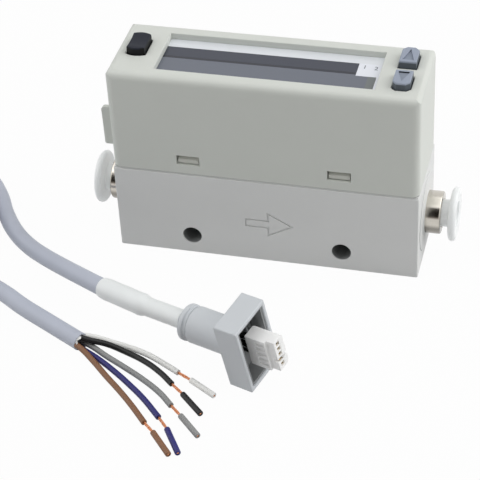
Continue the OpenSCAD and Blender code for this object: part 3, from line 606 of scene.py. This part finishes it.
def ease(piece, width, where, steps, sharpest=30):
    """Rounds the edges that are sharper than the given angle and whose middle where() accepts."""
    pick(piece)
    bpy.ops.object.mode_set(mode="EDIT")
    bpy.ops.mesh.select_mode(type="EDGE")
    bpy.ops.mesh.select_all(action="DESELECT")
    shape = bmesh.from_edit_mesh(piece.data)
    for edge in shape.edges:
        middle = (edge.verts[0].co + edge.verts[1].co) / 2 / MM
        sharp = len(edge.link_faces) == 2 and edge.calc_face_angle() > math.radians(sharpest)
        if sharp and where(middle):
            edge.select = True
    bmesh.update_edit_mesh(piece.data)
    bpy.ops.mesh.bevel(offset=width * MM, segments=steps, affect="EDGES")
    bpy.ops.object.mode_set(mode="OBJECT")


def everywhere(middle):
    return True


def near(value, target, slack=0.06):
    return abs(value - target) < slack


def arc(x, r, radius, start, end, steps):
    """Points of a rounded corner of an outline."""
    turns = [math.radians(start + (end - start) * i / steps) for i in range(steps + 1)]
    return [(x + radius * math.cos(a), r + radius * math.sin(a)) for a in turns]


def line_curve(name, points, radius, sides, between):
    """A round cord on one smooth curve through the points, in millimetres."""
    curve = bpy.data.curves.new(name, "CURVE")
    curve.dimensions = "3D"
    curve.bevel_depth = radius * MM
    curve.bevel_resolution = sides
    curve.resolution_u = between
    curve.use_fill_caps = True
    spline = curve.splines.new("BEZIER")
    spline.bezier_points.add(len(points) - 1)
    for knot, point in zip(spline.bezier_points, points):
        knot.co = Vector(point) * MM
        knot.handle_left_type = "AUTO"
        knot.handle_right_type = "AUTO"
    return new_piece(name, curve)


def smooth_points(points, between):
    """Points of a smooth line through the given ones, as many to each stretch as between says."""
    spots = [Vector(p) for p in points]
    spots = [2 * spots[0] - spots[1]] + spots + [2 * spots[-1] - spots[-2]]
    out = []
    for a, b, c, d in zip(spots, spots[1:], spots[2:], spots[3:]):
        for i in range(between):
            t = i / between
            out.append(0.5 * (2 * b + (c - a) * t + (2 * a - 5 * b + 4 * c - d) * t ** 2
                              + (3 * b - a - 3 * c + d) * t ** 3))
    out.append(spots[-2])
    return out


def headings(points):
    """Direction of a line at each of its points."""
    last = len(points) - 1
    return [(points[min(i + 1, last)] - points[max(i - 1, 0)]).normalized() for i in range(last + 1)]


def loft(name, points, ways, radii, sides, closed):
    """A mesh through rings, each square to its way. Closed, its last ring joins its first."""
    shape = bmesh.new()
    turn = [2 * math.pi * k / sides for k in range(sides)]
    rings = []
    for point, way, radius in zip(points, ways, radii):
        side = way.cross(UP).normalized()
        up = side.cross(way)
        spots = [point + radius * (math.cos(a) * side + math.sin(a) * up) for a in turn]
        rings.append([shape.verts.new(spot * MM) for spot in spots])
    pairs = list(zip(rings, rings[1:]))
    if closed:
        pairs.append((rings[-1], rings[0]))
    else:
        shape.faces.new(list(reversed(rings[0])))
        shape.faces.new(rings[-1])
    for one, two in pairs:
        for k in range(sides):
            n = (k + 1) % sides
            shape.faces.new((one[k], one[n], two[n], two[k]))
    bmesh.ops.recalc_face_normals(shape, faces=shape.faces)
    mesh = bpy.data.meshes.new(name)
    shape.to_mesh(mesh)
    shape.free()
    return smooth(new_piece(name, mesh), 50, weigh=False)


def hose(name, points, radii, sides, closed=False):
    """A solid tube through the points with a radius at each."""
    return loft(name, points, headings(points), radii, sides, closed)


def pipe(name, line, outer, inner, sides=48):
    """A hollow tube with an outer and an inner radius at each point of its line."""
    ways = headings(line)
    return loft(name, line + line[::-1], ways + ways[::-1], outer + inner[::-1], sides, True)


def straight_pipe(name, start, way, rows, sides=48):
    """A hollow tube along one way. A row is a place on it, and the outer and inner radius there."""
    places, outer, inner = (list(column) for column in zip(*rows))
    return pipe(name, [start + way * place for place in places], outer, inner, sides)


def turned(name, outline, axis_z):
    """A piece turned about the flow axis. The outline is a closed list of places along X and radii."""
    places, radii = zip(*outline)
    points = [Vector((x, 0, axis_z)) for x in places]
    return smooth(loft(name, points, [FLOW] * len(points), radii, TURNED_STEPS, True), 32)


def joined(name, parts):
    """Several pieces made one."""
    bpy.ops.object.select_all(action="DESELECT")
    for part in parts:
        part.select_set(True)
    bpy.context.view_layer.objects.active = parts[0]
    bpy.ops.object.join()
    parts[0].name = name
    return parts[0]


def length_of(points):
    return sum((b - a).length for a, b in zip(points, points[1:]))


# Lead

def coil_points():
    """The turns of the coil, track by track."""
    out = []
    angle = COIL_START
    while angle <= COIL_END:
        track = max(i for i, row in enumerate(COIL_TRACKS) if angle >= row[0])
        start, radius, height = COIL_TRACKS[track]
        before = COIL_TRACKS[max(track - 1, 0)]
        t = min((angle - start) / COIL_CROSSING, 1)
        crossed = t * t * (3 - 2 * t)
        r = before[1] + (radius - before[1]) * crossed
        z = before[2] + (height - before[2]) * crossed
        turn = math.radians(angle)
        out.append((COIL_MIDDLE.x + r * math.cos(turn), COIL_MIDDLE.y + r * math.sin(turn), z))
        angle += 360 / POINTS_A_TURN
    return out


def coil_tie():
    """Twist tie round the bundle of turns, with its two twisted ends."""
    turn = math.radians(TIE_ANGLE)
    out = Vector((math.cos(turn), math.sin(turn), 0))
    side = Vector((-out.y, out.x, 0))
    middle = COIL_MIDDLE + out * TIE_MIDDLE_R
    top = mm_box("cable_coil")[1].z + TIE_BAND_R
    wide = TIE_HALF - TIE_CORNER_R
    low = TIE_BAND_R + TIE_CORNER_R
    high = top - TIE_CORNER_R
    loop = []
    for x, z, start in ((wide, low, 270), (wide, high, 0), (-wide, high, 90), (-wide, low, 180)):
        corner = arc(x, z, TIE_CORNER_R, start, start + 90, 5)
        loop += [middle + out * dx + UP * dz for dx, dz in corner]
    pieces = [hose("tie_band", loop, [TIE_BAND_R] * len(loop), 12, closed=True)]
    knot = middle + out * (TIE_HALF + TIE_KNOT_OUT) + UP * (top - TIE_KNOT_DOWN)
    for k, bend in enumerate((TIE_SPREAD, -TIE_SPREAD)):
        twist = []
        for i in range(TIE_TWIST_STEPS + 1):
            run = i / TIE_TWIST_STEPS
            a = math.radians(i * TIE_TWIST_DEGREES) + math.pi * k
            lean = side * (math.cos(a) * TIE_TWIST_R) + UP * (math.sin(a) * TIE_TWIST_R)
            spread = side * (run ** 3 * bend) - UP * (run * TIE_DROP)
            twist.append(knot + out * (run * TIE_REACH) + lean + spread)
        pieces.append(hose(f"tie_end_{k + 1}", twist, [TIE_END_R] * len(twist), 10))
    for piece in pieces:
        dress(piece, "black_plastic")
    return pieces


def shrink_sleeve():
    """Sleeve over the cable next to the boot: thin, then doubled, with a rolled lip where it gets thick."""
    first = SLEEVE_BETWEEN * SLEEVE_FROM
    line = smooth_points(NEAR_ROUTE, SLEEVE_BETWEEN)[first:SLEEVE_BETWEEN * SLEEVE_TO + 1]
    step = SLEEVE_BETWEEN * SLEEVE_STEP - first
    outer = []
    for i in range(len(line)):
        ripple = sum(height * math.sin(i * turn + start) for height, turn, start in SLEEVE_RIPPLES)
        outer.append((SLEEVE_THIN_R if i < step else SLEEVE_THICK_R) + ripple)
    for i, change in enumerate(SLEEVE_LIP):
        outer[step + i] += change
    for i, change in enumerate(SLEEVE_ROUND_END):
        outer[i - len(SLEEVE_ROUND_END)] += change
    piece = pipe("sleeve_tube", line, outer, [CABLE_R + 0.02] * len(line))
    dress(piece, "sleeve")
    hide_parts("shrink_sleeve")
    return piece


def jacket_mouth():
    """Cut end of the jacket: its wall, the torn white wrap inside and the dark filling round the wires."""
    end = JACKET_END
    way = JACKET_HEADING
    bore = CABLE_R - JACKET_WALL
    wall = straight_pipe("jacket_mouth", end, way, [
        (-JACKET_MOUTH - 0.3, CABLE_R - 0.02, bore), (-0.3, CABLE_R + 0.02, bore),
        (-0.08, CABLE_R + 0.02, bore + 0.02), (0, CABLE_R - 0.04, bore + 0.05)])
    dress(wall, "cable")
    wrap = straight_pipe("inner_wrap", end, way, [
        (-JACKET_MOUTH, bore - 0.02, bore - 0.12), (0.05, bore - 0.02, bore - 0.12),
        (0.4, bore - 0.06, bore - 0.14), (0.8, bore + 0.02, bore - 0.04)])
    side = way.cross(UP)
    random.seed(11)
    for vert in wrap.data.vertices:
        off = vert.co / MM - end
        if off.dot(way) > TEAR_FROM:
            angle = math.atan2(off.z, off.dot(side))
            tear = 0.5 + 0.5 * math.sin(angle * 3 + 0.6) * math.cos(angle * 5)
            vert.co -= way * (TEAR_DEPTH * tear + TEAR_ROUGHNESS * random.random()) * MM
    dress(wrap, "white_wire")
    filling_line = [end - way * (JACKET_MOUTH + FILLING_DEEPER), end - way * FILLING_SUNK]
    filling = hose("jacket_filling", filling_line, [bore - 0.02] * 2, 32)
    dress(filling, "seal")
    return [wall, wrap, filling]


def wire_pieces(colour, route):
    """One wire: insulation, twisted bare strands and the slug left on the tip."""
    points = [Vector(p) for p in route]
    start = points[0]
    out_of_middle = start - JACKET_END
    out_of_middle -= JACKET_HEADING * out_of_middle.dot(JACKET_HEADING)
    inside = JACKET_END - JACKET_HEADING * WIRE_INSIDE + out_of_middle * 0.5
    run = [inside, inside.lerp(start, 0.5)] + points[:-2]
    tube = line_curve(colour + "_insulation", run, WIRE_R, 6, WIRE_BETWEEN)
    dress(tube, colour + "_wire")
    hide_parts(colour + "_wire")
    strands = bare_strands(colour + "_strands", points[-3], points[-2])
    slug = slug_of(colour + "_slug", points[-2], points[-1])
    dress(slug, colour + "_wire")
    length = length_of(smooth_points(run, WIRE_BETWEEN)) * MM


def bare_strands(name, one, two):
    """Copper strands laid round a straight middle one, which all reach a little into the insulation."""
    way = (two - one).normalized()
    side = way.cross(UP).normalized()
    up = side.cross(way)
    total = (two - one).length + 2 * STRAND_HIDDEN
    parts = []
    for k in range(STRANDS_ROUND + 1):
        lay_r = 0.0 if k == STRANDS_ROUND else 2 * STRAND_R
        points = []
        for i in range(STRAND_STEPS + 1):
            run = i / STRAND_STEPS
            a = 2 * math.pi * k / STRANDS_ROUND + run * STRAND_TURN
            swell = 1 + STRAND_SWELL * math.sin(math.pi * run)
            lean = math.cos(a) * side + math.sin(a) * up
            points.append(one + way * (total * run - STRAND_HIDDEN) + lay_r * swell * lean)
        parts.append(hose(f"{name}_{k}", points, [STRAND_R] * len(points), 8))
    return dress(joined(name, parts), "copper")


def slug_of(name, one, two):
    """The stretch of insulation pushed to the tip: a thick tube with eased ends."""
    way = (two - one).normalized()
    run = (two - one).length
    bore = CORE_R + 0.03
    return straight_pipe(name, one, way, [
        (0, 0.5, bore), (0.06, 0.6, bore), (0.2, WIRE_R, bore),
        (run - 0.2, WIRE_R, bore), (run - 0.06, 0.6, bore), (run, 0.48, bore)], 28)


def core_ends():
    """The cores' cut ends inside the slugs, which stand for the CAD cores."""
    parts = []
    for colour, route in WIRES.items():
        one = Vector(route[-2])
        two = Vector(route[-1])
        way = (two - one).normalized()
        line = [one + way * CORE_FROM, two - way * CORE_SUNK]
        parts.append(hose(f"{colour}_core", line, [CORE_R] * 2, 16))
    piece = dress(joined("core_ends", parts), "copper")
    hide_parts("wire_cores")
    return piece


def plug_pieces():
    """Hood with its boot, and the crimp housing, with eased edges."""
    hood = copy_of("plug_hood", "hood_moulding")
    ease(hood, 0.32, everywhere, 3, sharpest=40)
    housing = copy_of("crimp_housing", "housing_moulding")
    ease(housing, 0.12, everywhere, 2, sharpest=40)
    return [smooth(hood, 35), smooth(housing, 35)]


def lay_lead():
    short_end = tuple(JACKET_END - JACKET_HEADING * JACKET_MOUTH)
    route = NEAR_ROUTE + coil_points() + FAR_ROUTE[:-1] + [short_end]
    cable = line_curve("lead_cable", route, CABLE_R, 10, CABLE_BETWEEN)
    dress(cable, "cable")
    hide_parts("cable_near", "cable_coil", "cable_far")
    on_cable = plug_pieces() + [shrink_sleeve()]
    on_cable += [nodes["hood_lining"], nodes["crimp_contacts"], nodes["plug_wires"]]
    on_cable += jacket_mouth() + coil_tie() + [core_ends()]
    length = length_of(smooth_points(route, CABLE_BETWEEN)) * MM
    for colour, points in WIRES.items():
        wire_pieces(colour, points)


# Sensor

def block():
    """Flow block, eased on its outside, at the rims of its mounting holes and on the pads of its ends."""
    piece = copy_of("base_block", "block_casting")
    floor_z = mm_box("base_block")[0].z
    case_low, half = mm_box("upper_case")
    shoulder_z = case_low.z - SEAM_LINE

    def outside(m):
        at_end = near(abs(m.x), half.x)
        at_side = near(abs(m.y), half.y)
        level = near(m.z, floor_z) or near(m.z, shoulder_z)
        return (at_end and at_side) or ((at_end or at_side) and level)

    def hole_rim(m):
        off_axis = math.hypot(abs(m.x) - HOLE_PITCH / 2, m.z - HOLE_Z)
        return near(abs(m.y), half.y) and near(off_axis, HOLE_R, 0.1)

    ease(piece, 0.3, outside, 3)
    ease(piece, 0.14, hole_rim, 2)
    ease(piece, 0.2, lambda m: abs(m.x) > half.x + 0.3, 2)
    smooth(piece, 32)


def case():
    """Upper case, eased on its outside and at its openings, with the posts of the socket's rim lowered."""
    piece = copy_of("upper_case", "case_moulding")
    low, high = mm_box("upper_case")
    rim_top = RIM_TOP - RIM_DROP

    def lower_edge(m):
        at_side = near(abs(m.y), high.y) or near(abs(m.x), high.x)
        return near(m.z, low.z) and at_side

    def snap_window(m):
        return near(abs(m.y), high.y) and SNAP_WINDOWS_LOW < m.z < SNAP_WINDOWS_HIGH

    ease(piece, 0.25, lambda m: near(m.z, high.z), 3)
    for vert in piece.data.vertices:
        spot = vert.co / MM
        if spot.x < -high.x + 0.02 and near(spot.z, RIM_TOP) and abs(spot.y) > RIM_POST_Y:
            vert.co.z -= RIM_DROP * MM
    ease(piece, 0.9, lambda m: near(m.x, low.x) and near(m.z, rim_top), 5)
    ease(piece, 0.4, lambda m: m.x < low.x + 0.05 and m.z < rim_top - 1, 3)
    ease(piece, 0.12, snap_window, 2)
    ease(piece, 0.2, lower_edge, 2)
    smooth(piece, 32)


def key(node, marked):
    """A key, eased round its top but not at the edges of its mark."""
    piece = copy_of(node, node + "_cap")
    low, high = mm_box(node)
    middle = (low + high) / 2

    def rim(m):
        inside = low.y + MARK_MARGIN < m.y < high.y - MARK_MARGIN
        in_mark = marked and inside and abs(m.x - middle.x) < MARK_HALF
        return m.z > high.z - KEY_ROUNDING and not in_mark

    ease(piece, 0.28, rim, 3, sharpest=25)
    smooth(piece, 32)


def display():
    """Window, and the label beside it with the digits of the two lamps."""
    smooth(copy_of("display_lens", "window_film"), 30, weigh=False)
    smooth(copy_of("label_sheet", "label_film"), 30, weigh=False)
    face = mm_box("label_sheet")[1].z + DIGIT_PROUD
    for digit, (x, y) in LAMP_DIGITS.items():
        bpy.ops.object.text_add(location=(x * MM, y * MM, face * MM))
        words = bpy.context.object
        words.data.body = digit
        words.data.size = DIGIT_TALL * MM
        words.data.align_x = "CENTER"
        words.data.align_y = "CENTER"
        words.data.extrude = DIGIT_THICK * MM
        bpy.ops.object.convert(target="MESH")
        bpy.ops.object.transform_apply(location=True, rotation=True, scale=True)
        words.name = "lamp_digit_" + digit
        dress(words, "grey_key")


def reach_of(node):
    """A port piece's nearest and furthest place from the sensor's middle along X, and its radius."""
    low, high = mm_box(node)
    near_x, far_x = sorted((abs(low.x), abs(high.x)))
    return near_x, far_x, (high.z - low.z) / 2


def port_ring(side, sign, axis_z):
    """Metal ring of a port, with a thinner shank inside the block."""
    inner, face, r = reach_of(side + "_ring")
    back = mm_box("base_block")[1].x
    outline = [(inner, RING_SHANK_R), (back, RING_SHANK_R), (back, r)]
    outline += arc(face - RING_EDGE_R, r - RING_EDGE_R, RING_EDGE_R, 90, 0, 4)
    outline += [(face, RING_BORE_R + RING_CHAMFER), (face - RING_CHAMFER, RING_BORE_R),
                (inner, RING_BORE_R)]
    ring = turned(side + "_port_ring", [(sign * x, q) for x, q in outline], axis_z)
    dress(ring, "nickel")
    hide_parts(side + "_ring")


def release_collar(side, sign, axis_z):
    """Release collar of a port: a foot, a tube, a dished flange with a round lip, and the tube's mouth."""
    inner, face, r = reach_of(side + "_collar")
    back = face - COLLAR_FLANGE
    foot = inner + COLLAR_FOOT
    fillet_x = back - COLLAR_FILLET
    outline = [(inner, COLLAR_FOOT_R), (foot, COLLAR_FOOT_R), (foot, COLLAR_TUBE_R)]
    outline += arc(fillet_x, COLLAR_TUBE_R + COLLAR_FILLET, COLLAR_FILLET, 270, 360, 4)
    outline += [(back + 0.02, r - 0.9)]
    outline += arc(face - COLLAR_LIP_R - 0.02, r - COLLAR_LIP_R, COLLAR_LIP_R, 170, 10, 12)
    outline += [(face - 0.05, r - 1.3), (face - 0.2, 3.4)]
    outline += arc(face - 0.5, COLLAR_BORE_R + 0.5, 0.5, 60, 130, 2)
    outline += [(face - 0.9, COLLAR_BORE_R), (inner, COLLAR_BORE_R)]
    collar = turned(side + "_release_collar", [(sign * x, q) for x, q in outline], axis_z)
    dress(collar, "clear_plastic", BODY_OF[side + "_collar"])
    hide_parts(side + "_collar")


def ports():
    for side, sign in (("left", -1), ("right", 1)):
        low, high = mm_box(side + "_ring")
        axis_z = ((low + high) / 2).z
        port_ring(side, sign, axis_z)
        release_collar(side, sign, axis_z)


def coat_rest():
    """Finish of the CAD nodes that stay as they are."""
    for node, piece in nodes.items():
        if not piece.hide_render:
            coat(piece, SLOT_OF[node])
            smooth(piece, 30, weigh=False)


# Stage

WHITE = (1, 1, 1, 1)
AMBIENT = 0.22
LAMP_DISTANCE = 1.3
LAMP_SIZE = 1.7
# Direction and strength of each lamp
LAMPS = {"right_lamp": ((0.85, 0.2, 0.5), 0.84), "top_lamp": ((0.0, 0.0, 1.0), 0.36),
         "left_lamp": ((-0.8, -0.25, 0.55), 0.46)}
# What metal and gloss see of the room behind the camera: direction, where it starts and is full, and tone
ROOM = {"camera_side": ((-0.15, -0.83, 0.54), 0.84, 0.92, (0.015, 0.011, 0.008, 1)),
        "low_front": ((-0.2, -0.975, 0.1), 0.75, 0.96, (0.38, 0.33, 0.3, 1))}
FLOOR_SIZE = 6
FLOOR_GLOW = 0.97


def surroundings():
    """Plain even light, a white backdrop, and the dark sides of the room that metal and gloss mirror."""
    world = bpy.data.worlds.new("studio")
    bpy.context.scene.world = world
    world.use_nodes = True
    world.node_tree.nodes.clear()
    air = Shading(world.node_tree)
    direction = air.make("TexCoord", {}, {}, "Generated")
    sides = []
    for way, start, full, colour in ROOM.values():
        facing = air.make("VectorMath", {"operation": "DOT_PRODUCT"}, [direction, way], "Value")
        sides.append(air.make("ValToRGB", {"stops": ((start, WHITE), (full, colour))}, [facing]))
    mirrored = air.make("Mix", {"data_type": "RGBA", "blend_type": "MULTIPLY"},
                        {0: 1, 6: sides[0], 7: sides[1]}, 2)
    room = air.make("Background", {}, {"Color": mirrored})
    plain = air.make("Background", {}, {"Color": WHITE, "Strength": AMBIENT})
    backdrop = air.make("Background", {}, {"Color": WHITE})
    light = air.make("MixShader", {}, [air.ray("Glossy"), plain, room])
    seen = air.make("MixShader", {}, [air.ray("Camera") + air.ray("Transmission"), light, backdrop])
    out = air.tree.nodes.new("ShaderNodeOutputWorld")
    air.tree.links.new(seen.socket, out.inputs["Surface"])


def lamps():
    for name, (towards, strength) in LAMPS.items():
        lamp = bpy.data.lights.new(name, "AREA")
        lamp.shape = "DISK"
        lamp.size = LAMP_SIZE
        lamp.energy = strength * math.pi ** 2 * LAMP_DISTANCE ** 2
        stand = bpy.data.objects.new(name, lamp)
        bpy.context.scene.collection.objects.link(stand)
        way = Vector(towards).normalized()
        turn = way.to_track_quat("Z", "Y").to_matrix().to_4x4()
        stand.matrix_world = Matrix.Translation(way * LAMP_DISTANCE) @ turn


def floor():
    """White paper that keeps its shadows and glows for the rays that see it."""
    bpy.ops.mesh.primitive_plane_add(size=FLOOR_SIZE, location=(0, 0, 0))
    ground = bpy.context.object
    ground.name = "floor"
    paper = Finish("white paper")
    paper.set(Base_Color=tone(200, 200, 200), Roughness=0.9)
    seen = (paper.ray("Camera") + paper.ray("Glossy") + paper.ray("Transmission")) * FLOOR_GLOW
    sheet = Value(paper, paper.shader.outputs[0])
    both = paper.make("MixShader", {}, [seen, sheet, paper.make("Emission", {}, {})])
    paper.tree.links.new(both.socket, paper.tree.nodes["Material Output"].inputs["Surface"])
    ground.data.materials.append(paper.material)


place_camera()
lay_lead()
block()
case()
display()
key("set_key", marked=False)
key("up_key", marked=True)
key("down_key", marked=True)
ports()
coat_rest()
surroundings()
lamps()
floor()
bpy.context.scene.view_settings.view_transform = "Standard"
